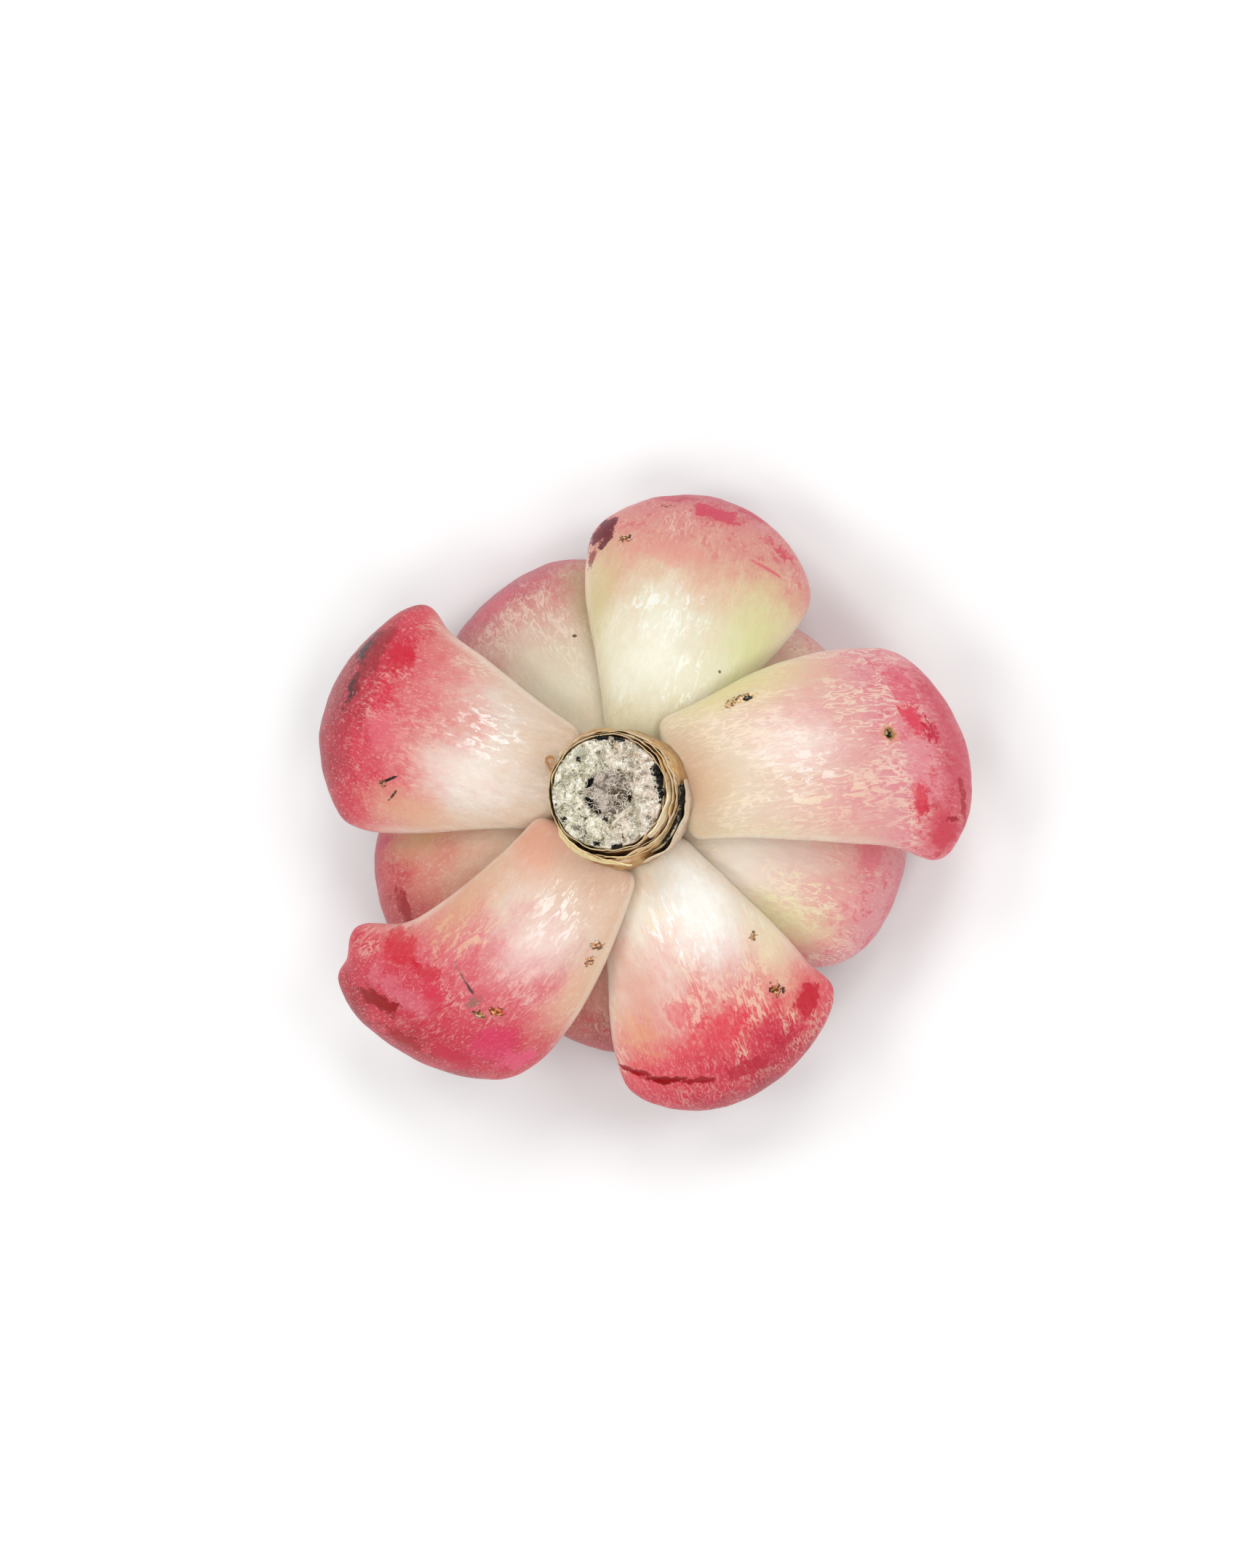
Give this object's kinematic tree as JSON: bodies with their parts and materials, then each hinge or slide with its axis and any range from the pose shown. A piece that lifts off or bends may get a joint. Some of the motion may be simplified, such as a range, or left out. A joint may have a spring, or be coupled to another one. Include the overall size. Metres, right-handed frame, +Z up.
{
  "type": "cut succulent rosette",
  "caption": "Cut head of a thick-leaved rosette succulent, lying face down with its cut stem end up: spoon-shaped pink leaves in whorls round a short stem with loose dry bark.",
  "frame": {"origin": "middle of the footprint of the whole head, on the surface that it rests on", "axes": "+Z up, along the stem from the rosette's face to the cut end; +X towards the second-oldest leaf's side of the head"},
  "size_m": [0.0584, 0.0548, 0.0293],
  "materials": {
    "outer leaf": "living succulent leaf: waxy satin skin over translucent flesh, cream at the stem, pink to crimson at the tip",
    "inner leaf": "living succulent leaf: waxy satin skin, pale green-cream with a pink tip",
    "stem": "dry fibrous callus on the cut face, matt, with dark specks",
    "bark": "dry papery bark, matt, tan with dark edges"
  },
  "bodies": {
    "root": {"outer_leaf_1": "outer leaf", "outer_leaf_2": "outer leaf", "outer_leaf_3": "outer leaf", "outer_leaf_4": "outer leaf", "outer_leaf_5": "outer leaf", "second_leaf_1": "outer leaf", "second_leaf_2": "outer leaf", "second_leaf_3": "outer leaf", "second_leaf_4": "outer leaf", "second_leaf_5": "outer leaf", "third_leaf_1": "inner leaf", "third_leaf_2": "inner leaf", "third_leaf_3": "inner leaf", "third_leaf_4": "inner leaf", "third_leaf_5": "inner leaf", "inner_leaf_1": "inner leaf", "inner_leaf_2": "inner leaf", "inner_leaf_3": "inner leaf", "inner_leaf_4": "inner leaf", "inner_leaf_5": "inner leaf", "heart_leaf_1": "inner leaf", "heart_leaf_2": "inner leaf", "heart_leaf_3": "inner leaf", "heart_leaf_4": "inner leaf", "heart_leaf_5": "inner leaf", "bud": "inner leaf", "stem": "stem", "bark_inner": "bark", "bark_middle": "bark", "bark_outer": "bark", "bark_flake": "bark"}
  },
  "joints": []
}
